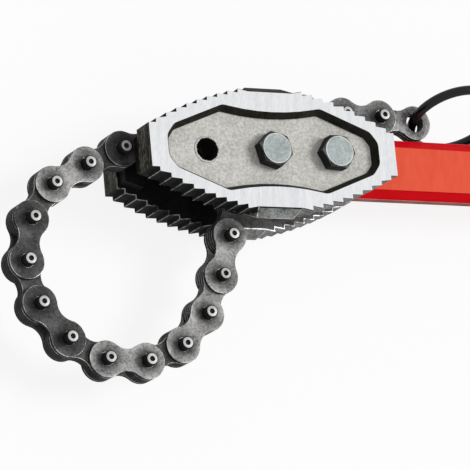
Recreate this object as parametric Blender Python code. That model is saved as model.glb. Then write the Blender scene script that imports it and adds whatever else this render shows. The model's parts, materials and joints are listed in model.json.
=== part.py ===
import math

import bmesh
import bpy
from mathutils import Matrix, Vector

# Lengths are in metres. The origin lies on the rear jaw's rim, beside the
# centre bolt. +X runs down the handle, +Z faces front.
fit_gap = 0.0003
cut_overrun = 0.002

jaw_half_length = 0.1004
jaw_end_half = 0.0164
jaw_mid_half = 0.0435
jaw_flat_half = 0.018
jaw_thick = 0.0216
jaw_gap = 0.0393
rim_side = 0.034
jaw_arc_radius = 0.254
tooth_pitch = 0.0085
tooth_height = 0.0033
ridge_height = 0.005
ridge_hip = 0.003
recess_depth = 0.0072
recess_slope = 0.0036
recess_corner_radius = 0.008
recess_waist_radius = 0.185

hole_spacing = 0.05175
hole_play = 0.0003
pad_half = 0.016
rib_half = 0.0090
hook_seat_inset = 0.0239
hook_top = 0.0174
hook_end_half = 0.0131
hook_end_inset = 0.0024

bolt_radius = 0.008
hex_across = 0.024
head_height = 0.010
head_chamfer = 0.0012
nut_height = 0.0068
washer_radius = 0.0125

handle_thick = 0.0192
handle_half = 0.0235
handle_flat_half = 0.0172
handle_edge_flat = 0.0076
handle_length = 0.840
handle_end_half = 0.017
handle_end_thick = 0.016
handle_taper_start = 0.240
nose_radius = 0.0165
shoulder_x = 0.030
shoulder_play = 0.001
hang_hole_radius = 0.008

chain_pitch = 0.03175
plate_thick = 0.0031
plate_end_radius = 0.0135
plate_waist_half = 0.0081
pin_radius = 0.0047
pin_length = 0.0318
run_play = 0.0011
pin_chamfer = 0.0006
dimple_radius = 0.0018
dimple_depth = 0.0012

ring_radius = 0.0349
ring_rod_radius = 0.0036
ring_hole_radius = 0.0072

# Points in the upper right quarter, as shares of the jaw's half length and
# of its half height at the middle.
recess_shares = ((0.0, 0.561), (0.398, 0.736), (0.797, 0.368), (0.857, 0.184))
# Shares of the hook seat's distance and of the pad's half height. The last
# share is where the pad comes down to the rib.
pad_shares = ((0.39, 1.0), (0.81, 0.75))
rib_share = 0.915
# The head's wide end, as shares of the shoulder's distance and of the
# handle's half height.
shoulder_share = (0.4, 0.645)

handle_lean = math.radians(-0.45)
hook_lean = math.radians(25)
nose_angle = math.radians(110)
pocket_angle = math.radians(53)
sharp_angle = math.radians(40)
centre_head_turn = math.radians(-16.7)
side_head_turn = math.radians(-3.6)
ring_turn = math.radians(6.2)
ring_rise = math.radians(10.0)
ring_tilt = math.radians(24.0)

# Headings of the links from the centre bolt outward. The wrapped links turn
# by one equal step each, worked out below so that the hook pin seats.
lead_headings = (236.9, 253.1, 251.7, 243.7, 227.2)
wrap_links = 8
wrap_step = -24.73
close_headings = (24.0, 15.0)
run_headings = (20.2, 14.8, 9.5, 4.1, -1.3, -1.1, -4.1)
heading_nudge = 0.01
closing_rounds = 20

hex_sides = 6
bolt_sides = 16
pin_sides = 12
plate_hole_sides = 8
plate_end_steps = 9
plate_waist_steps = 3
corner_steps = 3
waist_curve_steps = 6
nose_steps = 10
ring_steps = 36
ring_sides = 10

middle_z = jaw_thick + jaw_gap / 2
inner_half = plate_thick * 3 / 2 + fit_gap
tongue_half = inner_half
outer_face = inner_half + fit_gap + plate_thick
pad_face = handle_thick / 2 + fit_gap
hook_seat_x = jaw_half_length - hook_seat_inset
hook_end_x = jaw_half_length - hook_end_inset
hook_seat = Vector((-hook_seat_x, rib_half + fit_gap + pin_radius, 0))


def clear_scene():
    for item in list(bpy.data.objects):
        bpy.data.objects.remove(item, do_unlink=True)


def material(name, colour, roughness, metallic):
    made = bpy.data.materials.new(name)
    made.use_nodes = True
    shader = made.node_tree.nodes["Principled BSDF"]
    shader.inputs["Base Color"].default_value = (*colour, 1)
    shader.inputs["Roughness"].default_value = roughness
    shader.inputs["Metallic"].default_value = metallic
    made.diffuse_color = (*colour, 1)
    return made


def ground_steel():
    return material("ground_steel", (0.72, 0.72, 0.71), 0.35, 1.0)


def orange_paint():
    return material("orange_paint", (0.79, 0.10, 0.045), 0.45, 0.0)


def bolt_steel():
    return material("bolt_steel", (0.33, 0.36, 0.38), 0.4, 1.0)


def chain_steel():
    return material("chain_steel", (0.18, 0.18, 0.19), 0.45, 1.0)


def black_enamel():
    return material("black_enamel", (0.015, 0.015, 0.016), 0.25, 0.0)


def empty(name, parent, place, turn=0.0):
    made = bpy.data.objects.new(name, None)
    bpy.context.collection.objects.link(made)
    made.parent = parent
    made.location = place
    made.rotation_euler = (0, 0, turn)
    return made


def finish_mesh(work, name):
    bmesh.ops.recalc_face_normals(work, faces=work.faces)
    mesh = bpy.data.meshes.new(name)
    work.to_mesh(mesh)
    work.free()
    return mesh


def place(name, mesh, parent, look=None):
    made = bpy.data.objects.new(name, mesh)
    bpy.context.collection.objects.link(made)
    made.parent = parent
    if look and not mesh.materials:
        mesh.materials.append(look)
    return made


def cutter(name, mesh, parent):
    made = place(name, mesh, parent)
    made.hide_render = True
    made.display_type = "WIRE"
    return made


def boolean(target, operation, other):
    step = target.modifiers.new(other.name, "BOOLEAN")
    step.operation = operation
    step.solver = "EXACT"
    step.object = other


def smooth(mesh):
    mesh.shade_smooth()
    mesh.set_sharp_from_angle(angle=sharp_angle)


def arc(centre, radius, start, end, steps):
    points = []
    for index in range(steps + 1):
        angle = start + (end - start) * index / steps
        out = Vector((math.cos(angle), math.sin(angle))) * radius
        points.append(Vector((centre[0], centre[1])) + out)
    return points


def ring_points(centre, radius, sides, turn=0.0):
    return arc(centre, radius, turn, turn + math.tau * (sides - 1) / sides, sides - 1)


def around(radius, sides):
    # A polygon this wide clears a circle of the given radius.
    return radius / math.cos(math.pi / sides)


def layer(work, points, z):
    return [work.verts.new((point[0], point[1], z)) for point in points]


def skin(work, rings, capped=True):
    for lower, upper in zip(rings, rings[1:]):
        for index in range(len(lower)):
            after = (index + 1) % len(lower)
            work.faces.new((lower[index], lower[after], upper[after], upper[index]))
    if capped:
        work.faces.new(rings[0])
        work.faces.new(rings[-1])


def prism(work, points, low, high):
    skin(work, [layer(work, points, low), layer(work, points, high)])


def sheet(work, outline, holes, low, high):
    # A flat plate with holes: the face is filled once, then extruded.
    edges = []
    for loop in [outline] + holes:
        corners = layer(work, loop, low)
        for index, corner in enumerate(corners):
            edges.append(work.edges.new((corner, corners[(index + 1) % len(corners)])))
    filled = bmesh.ops.triangle_fill(work, use_beauty=True, edges=edges)
    faces = [item for item in filled["geom"] if isinstance(item, bmesh.types.BMFace)]
    raised = bmesh.ops.extrude_face_region(work, geom=faces, use_keep_orig=True)
    corners = [item for item in raised["geom"] if isinstance(item, bmesh.types.BMVert)]
    bmesh.ops.translate(work, verts=corners, vec=(0, 0, high - low))


def mirrored(quarter):
    # The quarter runs from the Y axis down to the X axis on the right.
    right = list(quarter) + [Vector((p[0], -p[1])) for p in reversed(quarter)]
    left = [Vector((-p[0], p[1])) for p in reversed(right)]
    merged = []
    for point in right + left:
        if not merged or (point - merged[-1]).length > fit_gap:
            merged.append(point)
    if (merged[0] - merged[-1]).length < fit_gap:
        merged.pop()
    return merged


def arc_centre(first, second, radius):
    middle = (first + second) / 2
    chord = second - first
    reach = math.sqrt(radius ** 2 - chord.length_squared / 4)
    return middle + Vector((chord.y, -chord.x)).normalized() * reach


def tooth_quarter():
    crest = Vector((jaw_flat_half, jaw_mid_half + tooth_height))
    centre = arc_centre(crest, Vector((jaw_half_length, jaw_end_half)), jaw_arc_radius)

    def envelope(x):
        return centre.y + math.sqrt(jaw_arc_radius ** 2 - (x - centre.x) ** 2)

    points = [Vector((jaw_flat_half, jaw_mid_half))]
    x = jaw_flat_half + tooth_pitch
    while x < jaw_half_length - cut_overrun:
        points.append(Vector((x, envelope(x))))
        points.append(Vector((x, envelope(x) - tooth_height)))
        x += tooth_pitch
    points.append(Vector((jaw_half_length, jaw_end_half)))
    return points


def inset_outline(points, distance):
    # Each side of the clockwise outline moves inward by the distance.
    moved = []
    count = len(points)
    for index in range(count):
        before, here, after = points[index - 1], points[index], points[(index + 1) % count]
        first = (here - before).normalized()
        second = (after - here).normalized()
        first_in = Vector((first.y, -first.x))
        second_in = Vector((second.y, -second.x))
        bisector = (first_in + second_in).normalized()
        moved.append(here + bisector * distance / bisector.dot(first_in))
    return moved


def rounded(points, inset):
    # The corners on the Y axis carry the waist's long curve.
    outline = []
    count = len(points)
    for index in range(count):
        before, here, after = points[index - 1], points[index], points[(index + 1) % count]
        waist = abs(here.x) < fit_gap
        radius = recess_waist_radius if waist else recess_corner_radius
        steps = waist_curve_steps if waist else corner_steps
        into = (here - before).normalized()
        out = (after - here).normalized()
        turn = math.atan2(into.x * out.y - into.y * out.x, into.dot(out))
        bend = radius + inset if turn > 0 else radius - inset
        reach = bend * math.tan(abs(turn) / 2)
        start, end = here - into * reach, here + out * reach
        for step in range(steps + 1):
            share = step / steps
            outline.append(start.lerp(here, share).lerp(here.lerp(end, share), share))
    return outline


def jaw_body():
    work = bmesh.new()
    inner = jaw_gap / 2
    prism(work, mirrored(tooth_quarter()), inner, inner + jaw_thick)
    return finish_mesh(work, "jaw_body")


def jaw_ridges():
    work = bmesh.new()
    inner = jaw_gap / 2
    base = jaw_mid_half - cut_overrun
    for side in (1, -1):
        low, high = inner, inner + jaw_thick
        crest = (low + high) / 2
        half = jaw_flat_half
        points = [(-half, base, low), (half, base, low), (half, base, high), (-half, base, high)]
        points += [(x, jaw_mid_half, z) for x, y, z in points]
        hip = half - ridge_hip
        points += [(-hip, jaw_mid_half + ridge_height, crest), (hip, jaw_mid_half + ridge_height, crest)]
        corners = [work.verts.new((x, y * side, z)) for x, y, z in points]
        bmesh.ops.convex_hull(work, input=corners)
    return finish_mesh(work, "jaw_ridges")


def hook_quarter():
    # The hook's wall leans back, so that the pin lifts clear along it.
    seat = Vector((hook_seat_x, hook_seat.y))
    wall = seat + Vector((math.cos(hook_lean), -math.sin(hook_lean))) * (pin_radius + fit_gap)
    lean = Vector((math.sin(hook_lean), math.cos(hook_lean)))
    foot = wall + lean * ((rib_half - wall.y) / lean.y)
    top = wall + lean * ((hook_top - wall.y) / lean.y)
    quarter = [Vector((0, pad_half))]
    quarter += [Vector((hook_seat_x * x, pad_half * y)) for x, y in pad_shares]
    quarter.append(Vector((hook_seat_x * rib_share, rib_half)))
    return quarter + [foot, top, Vector((hook_end_x, hook_end_half))]


def jaw_pad():
    work = bmesh.new()
    prism(work, mirrored(hook_quarter()), pad_face, jaw_gap / 2 + cut_overrun)
    return finish_mesh(work, "jaw_pad")


def jaw_recess():
    quarter = [Vector((jaw_half_length * x, jaw_mid_half * y)) for x, y in recess_shares]
    outline = mirrored(quarter)
    floor = inset_outline(outline, recess_slope)
    above = -recess_slope * cut_overrun / recess_depth
    mouth = inset_outline(outline, above)
    top = jaw_gap / 2 + jaw_thick
    work = bmesh.new()
    lower = layer(work, rounded(floor, recess_slope), top - recess_depth)
    upper = layer(work, rounded(mouth, above), top + cut_overrun)
    skin(work, [lower, upper])
    return finish_mesh(work, "jaw_recess")


def bolt_cuts(places, low, high):
    work = bmesh.new()
    radius = around(bolt_radius + hole_play, bolt_sides)
    for spot in places:
        prism(work, ring_points(spot, radius, bolt_sides), low, high)
    return finish_mesh(work, "bolt_cuts")


def make_jaws(root):
    steel = ground_steel()
    top = jaw_gap / 2 + jaw_thick
    spots = [(-hole_spacing, 0), (0, 0), (hole_spacing, 0)]
    body = jaw_body()
    shapes = {
        "ridges": ("UNION", jaw_ridges()),
        "pad": ("UNION", jaw_pad()),
        "recess": ("DIFFERENCE", jaw_recess()),
        "bolt_cuts": ("DIFFERENCE", bolt_cuts(spots, pad_face - cut_overrun, top + cut_overrun)),
    }
    for side, turn in (("front", 0.0), ("rear", math.pi)):
        holder = empty("jaw_holder_" + side, root, (0, 0, middle_z))
        holder.rotation_euler = (turn, 0, 0)
        jaw = place("jaw_" + side, body, holder, steel)
        for key, (operation, mesh) in shapes.items():
            boolean(jaw, operation, cutter("jaw_" + side + "_" + key, mesh, holder))


def bar_section(work, x, half, thick):
    flat = handle_flat_half * half / handle_half
    edge = handle_edge_flat * thick / handle_thick / 2
    upper = [(half, -edge), (half, edge), (flat, thick / 2), (-flat, thick / 2)]
    lower = [(-half, edge), (-half, -edge), (-flat, -thick / 2), (flat, -thick / 2)]
    return [work.verts.new((x, y, z)) for y, z in upper + lower]


def handle_bar():
    work = bmesh.new()
    end = handle_length - handle_end_half
    sections = [
        bar_section(work, -nose_radius - cut_overrun, handle_half, handle_thick),
        bar_section(work, handle_taper_start, handle_half, handle_thick),
        bar_section(work, end, handle_end_half, handle_end_thick),
        bar_section(work, handle_length + cut_overrun, handle_end_half, handle_end_thick),
    ]
    skin(work, sections)
    return finish_mesh(work, "handle_bar")


def handle_plan():
    end = handle_length - handle_end_half
    nose = arc((0, 0), nose_radius, nose_angle, math.tau - nose_angle, nose_steps)
    tip = arc((end, 0), handle_end_half, -math.pi / 2, math.pi / 2, nose_steps)
    wide = handle_half + cut_overrun
    narrow = handle_end_half + cut_overrun
    points = nose + [Vector((shoulder_x, -wide)), Vector((end, -narrow))] + tip
    points += [Vector((end, narrow)), Vector((shoulder_x, wide))]
    work = bmesh.new()
    prism(work, points, -handle_thick, handle_thick)
    return finish_mesh(work, "handle_plan")


def shoulder_pockets():
    x, y = shoulder_x * shoulder_share[0], handle_half * shoulder_share[1]
    radius = plate_end_radius + shoulder_play
    inner = arc((0, 0), radius, -pocket_angle, pocket_angle, nose_steps)
    far = handle_half + cut_overrun
    points = [Vector((shoulder_x, -far)), Vector((shoulder_x, -handle_half)), Vector((x, -y))]
    points += inner
    points += [Vector((x, y)), Vector((shoulder_x, handle_half)), Vector((shoulder_x, far))]
    points += [Vector((-far, far)), Vector((-far, -far))]
    work = bmesh.new()
    prism(work, points, tongue_half, handle_thick)
    prism(work, points, -handle_thick, -tongue_half)
    return finish_mesh(work, "shoulder_pockets")


def hang_cut():
    work = bmesh.new()
    spot = (handle_length - handle_end_half, 0)
    points = ring_points(spot, around(hang_hole_radius, bolt_sides), bolt_sides)
    prism(work, points, -handle_thick, handle_thick)
    return finish_mesh(work, "hang_cut")


def make_handle(root):
    holder = empty("handle_holder", root, (0, 0, middle_z), handle_lean)
    level = empty("handle_level", root, (0, 0, middle_z))
    bar = place("handle", handle_bar(), holder, orange_paint())
    boolean(bar, "INTERSECT", cutter("handle_outline", handle_plan(), holder))
    boolean(bar, "DIFFERENCE", cutter("handle_pockets", shoulder_pockets(), holder))
    boolean(bar, "DIFFERENCE", cutter("handle_hang_hole", hang_cut(), holder))
    spots = [(0, 0), (hole_spacing, 0)]
    mesh = bolt_cuts(spots, -handle_thick, handle_thick)
    boolean(bar, "DIFFERENCE", cutter("handle_bolt_holes", mesh, level))


def hexagon(spot, across, turn):
    return ring_points(spot, around(across / 2, hex_sides), hex_sides, turn)


def fastener_seat():
    return jaw_gap / 2 + jaw_thick - recess_depth + fit_gap


def make_bolt(holder, name, spot, turn, look):
    seat = fastener_seat()
    head = bmesh.new()
    wide = hexagon(spot, hex_across, turn)
    narrow = hexagon(spot, hex_across - head_chamfer, turn)
    rings = [layer(head, wide, seat), layer(head, wide, seat + head_height - head_chamfer)]
    rings.append(layer(head, narrow, seat + head_height))
    skin(head, rings)
    shank = bmesh.new()
    low, high = -(seat + nut_height), seat + head_chamfer
    prism(shank, ring_points(spot, bolt_radius, bolt_sides), low, high)
    bolt = place(name, finish_mesh(head, name), holder, look)
    boolean(bolt, "UNION", cutter(name + "_shank", finish_mesh(shank, "shank"), holder))


def flat_ring(holder, name, rim, spot, low, high, look):
    work = bmesh.new()
    hole = ring_points(spot, around(bolt_radius + fit_gap, bolt_sides), bolt_sides)
    sheet(work, rim, [hole], low, high)
    place(name, finish_mesh(work, name), holder, look)


def make_fasteners(root):
    look = bolt_steel()
    holder = empty("fastener_holder", root, (0, 0, middle_z))
    seat = fastener_seat()
    bolts = (("centre", (0, 0), centre_head_turn), ("side", (hole_spacing, 0), side_head_turn))
    for name, spot, turn in bolts:
        make_bolt(holder, "bolt_" + name, spot, turn, look)
        rim = hexagon(spot, hex_across, 0)
        flat_ring(holder, "nut_" + name, rim, spot, -(seat + nut_height), -seat, look)
    rim = ring_points((0, 0), washer_radius, bolt_sides)
    low, high = outer_face + fit_gap, pad_face - fit_gap
    flat_ring(holder, "washer_front", rim, (0, 0), low, high, look)
    flat_ring(holder, "washer_rear", rim, (0, 0), -high, -low, look)


def plate_outline():
    # Two round ends joined by a waist whose arcs run into them smoothly.
    middle = chain_pitch / 2
    spread = plate_end_radius - plate_waist_half
    waist = (middle ** 2 + plate_waist_half ** 2 - plate_end_radius ** 2) / (2 * spread)
    height = plate_waist_half + waist
    lean = math.atan2(height, middle)
    left = arc((0, 0), plate_end_radius, lean, math.tau - lean, plate_end_steps)
    below = arc((middle, -height), waist, math.pi - lean, lean, plate_waist_steps)
    right = arc((chain_pitch, 0), plate_end_radius, lean - math.pi, math.pi - lean, plate_end_steps)
    above = arc((middle, height), waist, -lean, lean - math.pi, plate_waist_steps)
    return left + below[1:-1] + right + above[1:-1]


def hole_ring(x, radius, sides):
    return ring_points((x, 0), around(radius, sides), sides)


def inner_plate(name, last_hole=None):
    work = bmesh.new()
    hole = pin_radius + fit_gap
    holes = [hole_ring(0, hole, plate_hole_sides)]
    if last_hole:
        holes.append(hole_ring(chain_pitch, last_hole, bolt_sides))
    else:
        holes.append(hole_ring(chain_pitch, hole, plate_hole_sides))
    sheet(work, plate_outline(), holes, -plate_thick / 2, plate_thick / 2)
    return finish_mesh(work, name)


def fill_loops(work, loops):
    # Fills the flat face between an outline and the rings inside it.
    edges = []
    for corners in loops:
        for index, corner in enumerate(corners):
            after = corners[(index + 1) % len(corners)]
            edges.append(work.edges.get((corner, after)) or work.edges.new((corner, after)))
    bmesh.ops.triangle_fill(work, use_beauty=True, edges=edges)


def pin_end(work, ring, x, end):
    # From the plate's face out to the chamfer, then into the rivet's dimple.
    side = 1 if end > 0 else -1
    profile = [
        (pin_radius, end - side * pin_chamfer),
        (pin_radius - pin_chamfer, end),
        (dimple_radius, end),
    ]
    rings = [ring]
    for radius, z in profile:
        rings.append(layer(work, ring_points((x, 0), radius, pin_sides), z))
    skin(work, rings, capped=False)
    point = work.verts.new((x, 0, end - side * dimple_depth))
    for index, corner in enumerate(rings[-1]):
        work.faces.new((corner, rings[-1][(index + 1) % pin_sides], point))


def riveted_link(name, bolt_hole=None):
    # Two plates and the pins riveted in them. The anchor link has one pin
    # and a hole for the centre bolt in place of the other.
    work = bmesh.new()
    outline = plate_outline()
    pins = [chain_pitch] if bolt_hole else [0, chain_pitch]
    inside = {x: [] for x in pins}
    for side in (1, -1):
        low, high = side * (outer_face - plate_thick), side * outer_face
        walls = [layer(work, outline, low), layer(work, outline, high)]
        skin(work, walls, capped=False)
        hole = []
        if bolt_hole:
            hole = [layer(work, hole_ring(0, bolt_hole, bolt_sides), z) for z in (low, high)]
            skin(work, hole, capped=False)
        rims = {x: ring_points((x, 0), pin_radius, pin_sides) for x in pins}
        rings = {x: [layer(work, rim, z) for z in (low, high)] for x, rim in rims.items()}
        for level in (0, 1):
            loops = [walls[level]] + [pair[level] for pair in rings.values()]
            fill_loops(work, loops + ([hole[level]] if hole else []))
        for x, pair in rings.items():
            inside[x].append(pair[0])
            pin_end(work, pair[1], x, side * pin_length / 2)
    for pair in inside.values():
        skin(work, pair, capped=False)
    mesh = finish_mesh(work, name)
    smooth(mesh)
    return mesh


def link_path(headings, start=Vector((0, 0, 0))):
    spot = start
    path = [spot]
    for heading in headings:
        angle = math.radians(heading)
        spot = spot + Vector((math.cos(angle), math.sin(angle), 0)) * chain_pitch
        path.append(spot)
    return path


def loop_headings(swing, step):
    lead = [heading + swing for heading in lead_headings]
    wrap = [lead[-1] + step * (index + 1) for index in range(wrap_links)]
    return lead + wrap + list(close_headings)


def closed_headings():
    # Turns the loop's start and evens its step until the hook pin seats.
    swing, step, nudge = 0.0, wrap_step, heading_nudge
    for trial in range(closing_rounds):
        end = link_path(loop_headings(swing, step))[-1]
        miss = end - hook_seat
        by_swing = (link_path(loop_headings(swing + nudge, step))[-1] - end) / nudge
        by_step = (link_path(loop_headings(swing, step + nudge))[-1] - end) / nudge
        scale = by_swing.x * by_step.y - by_swing.y * by_step.x
        swing -= (miss.x * by_step.y - miss.y * by_step.x) / scale
        step -= (by_swing.x * miss.y - by_swing.y * miss.x) / scale
    return loop_headings(swing, step)


def laid_headings():
    # Turns the free run until its last plates lie just beside the handle.
    across = Vector((-math.sin(handle_lean), math.cos(handle_lean), 0))
    height = handle_half + run_play + plate_end_radius
    turn = 0.0
    for trial in range(closing_rounds):
        tries = [turn, turn + heading_nudge]
        runs = [[heading + extra for heading in run_headings] for extra in tries]
        now, then = [link_path(run, hook_seat)[-1].dot(across) for run in runs]
        turn -= (now - height) * heading_nudge / (then - now)
    return [heading + turn for heading in run_headings]


def make_chain(root):
    dark = chain_steel()
    headings = closed_headings() + laid_headings()
    riveted = riveted_link("riveted_link")
    anchor = riveted_link("anchor_link", bolt_radius + fit_gap)
    inner = inner_plate("inner_plate")
    last = inner_plate("last_plate", ring_hole_radius)
    carrier, spot, before = root, (0, 0, middle_z), 0.0
    for index, heading in enumerate(headings):
        label = "{:02d}".format(index)
        carrier = empty("link_" + label, carrier, spot, math.radians(heading - before))
        spot, before = (chain_pitch, 0, 0), heading
        if index % 2 == 0:
            place("outer_link_" + label, riveted if index else anchor, carrier, dark)
            continue
        mesh = last if index == len(headings) - 1 else inner
        for level, letter in ((1, "a"), (0, "b"), (-1, "c")):
            plate = place("inner_plate_" + label + letter, mesh, carrier, dark)
            plate.location.z = level * (plate_thick + fit_gap)
    return empty("chain_end", carrier, spot, math.radians(-before))


def make_ring(end):
    frame = Matrix.Rotation(ring_turn, 4, "Z") @ Matrix.Rotation(-ring_rise, 4, "Y")
    frame = frame @ Matrix.Rotation(-ring_tilt, 4, "X") @ Matrix.Rotation(math.pi / 2, 4, "X")
    bpy.ops.mesh.primitive_torus_add(
        major_segments=ring_steps,
        minor_segments=ring_sides,
        major_radius=ring_radius,
        minor_radius=ring_rod_radius,
    )
    ring = bpy.context.object
    ring.name = "pull_ring"
    ring.data.transform(Matrix.Translation((ring_radius, 0, 0)))
    ring.data.materials.append(black_enamel())
    ring.data.shade_smooth()
    ring.parent = end
    ring.matrix_local = frame


def main():
    clear_scene()
    root = empty("chain_wrench", None, (0, rim_side, 0))
    make_jaws(root)
    make_handle(root)
    make_fasteners(root)
    make_ring(make_chain(root))


main()
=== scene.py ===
import json
import math

import bmesh
import bpy
from mathutils import Euler, Matrix, Vector


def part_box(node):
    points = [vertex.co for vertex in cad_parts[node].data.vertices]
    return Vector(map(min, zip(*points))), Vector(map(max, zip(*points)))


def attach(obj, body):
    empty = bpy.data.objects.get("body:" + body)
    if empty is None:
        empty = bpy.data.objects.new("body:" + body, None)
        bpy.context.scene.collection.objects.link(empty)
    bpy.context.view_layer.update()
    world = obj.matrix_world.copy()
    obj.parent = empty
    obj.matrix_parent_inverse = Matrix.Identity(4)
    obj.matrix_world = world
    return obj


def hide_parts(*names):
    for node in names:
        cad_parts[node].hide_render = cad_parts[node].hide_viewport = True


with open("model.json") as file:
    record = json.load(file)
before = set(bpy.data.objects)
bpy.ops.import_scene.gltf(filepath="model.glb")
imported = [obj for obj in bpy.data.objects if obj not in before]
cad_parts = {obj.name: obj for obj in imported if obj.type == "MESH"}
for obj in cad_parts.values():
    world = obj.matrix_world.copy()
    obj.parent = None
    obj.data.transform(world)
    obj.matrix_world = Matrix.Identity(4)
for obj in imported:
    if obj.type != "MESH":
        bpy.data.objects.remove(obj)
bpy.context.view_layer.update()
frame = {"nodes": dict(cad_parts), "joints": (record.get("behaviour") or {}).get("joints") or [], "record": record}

mm = 0.001
joints = {joint["name"]: joint for joint in frame["joints"]}
centreBolt = Vector(joints["hinge_00"]["pos_m"])  # halfway between the jaws
bodyNodes = frame["record"]["behaviour"]["bodies"]
linkBodies = sorted(name for name in bodyNodes if name.startswith("link_"))


# ---- node helpers

def addNode(tree, kind, **settings):
    node = tree.nodes.new(kind)
    for name, value in settings.items():
        setattr(node, name, value)
    return node


def fill(tree, socket, value):
    # A number is set on the socket itself, another node's output is linked to it.
    if isinstance(value, (int, float)):
        socket.default_value = value
    else:
        tree.links.new(value, socket)


def mathNode(tree, operation, *values):
    node = addNode(tree, "ShaderNodeMath", operation=operation)
    for socket, value in zip(node.inputs, values):
        fill(tree, socket, value)
    return node.outputs[0]


mixSockets = {"FLOAT": (2, 3, 0), "RGBA": (6, 7, 2)}  # first, second, and the output


def mixNode(tree, kind, share, first, second):
    node = addNode(tree, "ShaderNodeMix", data_type=kind)
    firstSocket, secondSocket, output = mixSockets[kind]
    tree.links.new(share, node.inputs[0])
    tree.links.new(first, node.inputs[firstSocket])
    tree.links.new(second, node.inputs[secondSocket])
    return node.outputs[output]


def mapRange(tree, value, fromEnds, toEnds):
    node = addNode(tree, "ShaderNodeMapRange")
    labels = ("Value", "From Min", "From Max", "To Min", "To Max")
    for label, end in zip(labels, (value, *fromEnds, *toEnds)):
        fill(tree, node.inputs[label], end)
    return node.outputs["Result"]


def ramp(tree, source, spread, dark, light):
    node = addNode(tree, "ShaderNodeValToRGB")
    for element, place, colour in zip(node.color_ramp.elements, spread, (dark, light)):
        element.position = place
        element.color = (*colour, 1)
    tree.links.new(source, node.inputs[0])
    return node.outputs["Color"]


def splitPlace(tree, place):
    parts = addNode(tree, "ShaderNodeSeparateXYZ")
    tree.links.new(place, parts.inputs[0])
    return parts.outputs


def objectPlace(tree):
    return addNode(tree, "ShaderNodeTexCoord").outputs["Object"]


def ownPlace(tree):
    # Moved by a different amount for each piece, so that no two match.
    piece = addNode(tree, "ShaderNodeObjectInfo")
    moved = addNode(tree, "ShaderNodeVectorMath", operation="ADD")
    tree.links.new(objectPlace(tree), moved.inputs[0])
    tree.links.new(piece.outputs["Random"], moved.inputs[1])
    return moved.outputs[0]


def noise(tree, place, scale, detail):
    node = addNode(tree, "ShaderNodeTexNoise")
    node.inputs["Detail"].default_value = detail
    tree.links.new(place, node.inputs["Vector"])
    fill(tree, node.inputs["Scale"], scale)
    return node.outputs["Fac"]


def newGroup(name, inputs, outputs):
    tree = bpy.data.node_groups.new(name, "ShaderNodeTree")
    for label, value in inputs.items():
        socket = tree.interface.new_socket(label, in_out="INPUT", socket_type="NodeSocketFloat")
        socket.default_value = value
    for label in outputs:
        tree.interface.new_socket(label, in_out="OUTPUT", socket_type="NodeSocketFloat")
    return tree, addNode(tree, "NodeGroupInput"), addNode(tree, "NodeGroupOutput")


# ---- groups that more than one finish uses

lumps = {"coarseDetail": 5, "fineTimes": 4.5, "fineDetail": 3, "patchScale": 75, "patchDetail": 4}


def castGrain():
    # Coarse and fine lumps of forged or cast metal, over slow cloudy patches.
    inputs = {"Scale": 400, "Fine": 0.5, "Patches": 0.5}
    tree, given, made = newGroup("castGrain", inputs, ["Height", "Tone"])
    place = ownPlace(tree)
    coarse = noise(tree, place, given.outputs["Scale"], lumps["coarseDetail"])
    fineScale = mathNode(tree, "MULTIPLY", given.outputs["Scale"], lumps["fineTimes"])
    fine = noise(tree, place, fineScale, lumps["fineDetail"])
    patch = noise(tree, place, lumps["patchScale"], lumps["patchDetail"])
    height = mixNode(tree, "FLOAT", given.outputs["Fine"], coarse, fine)
    tone = mixNode(tree, "FLOAT", given.outputs["Patches"], height, patch)
    tree.links.new(height, made.inputs["Height"])
    tree.links.new(tone, made.inputs["Tone"])
    return tree


scratches = {"lineDetail": 6, "lineShare": 0.6, "deepScale": 22, "deepDetail": 9, "deepShare": 0.4}


def brushLines():
    # Long fine grinding lines with a few deeper scratches along them.
    inputs = {"Scale": 90, "Turn": 0.0, "Stretch": 16}
    tree, given, made = newGroup("brushLines", inputs, ["Height", "Tone"])
    turn = addNode(tree, "ShaderNodeVectorRotate", rotation_type="Z_AXIS")
    tree.links.new(ownPlace(tree), turn.inputs["Vector"])
    tree.links.new(given.outputs["Turn"], turn.inputs["Angle"])
    stretch = addNode(tree, "ShaderNodeCombineXYZ")
    stretch.inputs["X"].default_value = 1
    for axis in "YZ":
        tree.links.new(given.outputs["Stretch"], stretch.inputs[axis])
    place = addNode(tree, "ShaderNodeVectorMath", operation="MULTIPLY")
    tree.links.new(turn.outputs[0], place.inputs[0])
    tree.links.new(stretch.outputs[0], place.inputs[1])
    lines = noise(tree, place.outputs[0], given.outputs["Scale"], scratches["lineDetail"])
    deep = noise(tree, place.outputs[0], scratches["deepScale"], scratches["deepDetail"])
    lines = mathNode(tree, "MULTIPLY", lines, scratches["lineShare"])
    deep = mathNode(tree, "MULTIPLY", deep, scratches["deepShare"])
    height = mathNode(tree, "ADD", lines, deep)
    tree.links.new(height, made.inputs["Height"])
    tree.links.new(height, made.inputs["Tone"])
    return tree


noiseMiddle = 0.5


def wander(tree, place, edge):
    # How far a stain's edge strays to either side of its line.
    aside = noise(tree, place, edge["scale"], edge["detail"])
    return mathNode(tree, "MULTIPLY", mathNode(tree, "SUBTRACT", aside, noiseMiddle), edge["stray"])


paintedShadeEdge = {"scale": 120, "detail": 4, "stray": 20 * mm, "fadeMiddle": 0.5,
           "bandStray": 0.05, "bandFade": 0.8 * mm}


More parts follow.
